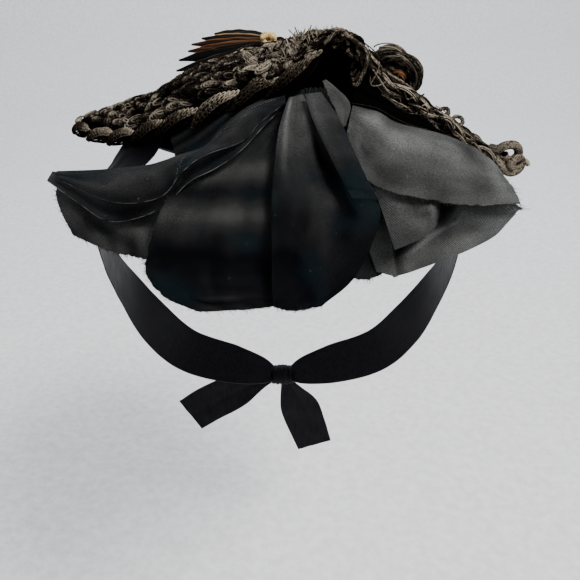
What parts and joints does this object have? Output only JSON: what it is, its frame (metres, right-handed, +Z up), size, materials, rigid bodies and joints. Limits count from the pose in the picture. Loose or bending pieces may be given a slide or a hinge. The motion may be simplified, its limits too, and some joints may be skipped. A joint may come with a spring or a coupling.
{
  "type": "bonnet",
  "caption": "Small late Victorian dress bonnet with looped straw braid, a large black silk bow at the back and ribbon ties knotted under the chin.",
  "frame": {"origin": "middle of the crown's underside, where the bonnet sits when worn", "axes": "+Z up, +Y towards the front of the bonnet, +X to the right of someone who looks at its back"},
  "size_m": [0.1823, 0.2, 0.2617],
  "materials": {
    "silk_black": "dull black twilled silk with raw frayed edges",
    "silk_teal": "black silk with a blue green cast",
    "braid_dark": "dark grey brown looped straw braid",
    "braid_tan": "dark straw plait with tan chain stitches",
    "leaf_dark": "glossy dark green grey straw",
    "leaf_brown": "brown straw with tan streaks",
    "leaf_tan": "tan straw",
    "cream": "cream cord",
    "satin_black": "black satin ribbon"
  },
  "bodies": {
    "root": {"foundation": "silk_black", "inner_band": "silk_teal", "braid_row_1": "braid_dark", "braid_row_2": "braid_dark", "braid_row_3": "braid_dark", "braid_row_4": "braid_dark", "braid_row_5": "braid_dark", "crown_braid": "braid_dark", "edge_plait_left": "braid_tan", "edge_plait_right": "braid_tan", "edge_plait_front": "braid_tan", "tip_curl": "braid_tan", "rosette_loop_1": "braid_dark", "rosette_loop_2": "braid_dark", "rosette_loop_3": "braid_dark", "rosette_heart": "leaf_brown", "leaf_1": "leaf_dark", "leaf_2": "leaf_dark", "leaf_3": "leaf_brown", "leaf_4": "leaf_brown", "leaf_5": "leaf_dark", "leaf_6": "leaf_tan", "leaf_7": "leaf_dark", "leaf_stem": "braid_dark", "leaf_knot": "cream", "bow_gather": "silk_black", "bow_left_loop": "silk_black", "bow_left_fold": "silk_black", "bow_left_tail": "silk_black", "bow_centre_left": "silk_black", "bow_centre_right": "silk_black", "bow_strap": "silk_black", "bow_facet": "silk_black", "bow_right_panel": "silk_black", "bow_right_loop": "silk_black", "bow_right_tail": "silk_black", "bow_side_strip": "silk_black", "bow_net": "silk_black", "tie_left": "satin_black", "tie_right": "satin_black", "tie_knot": "satin_black", "tie_end_left": "satin_black", "tie_end_right": "satin_black"}
  },
  "joints": []
}
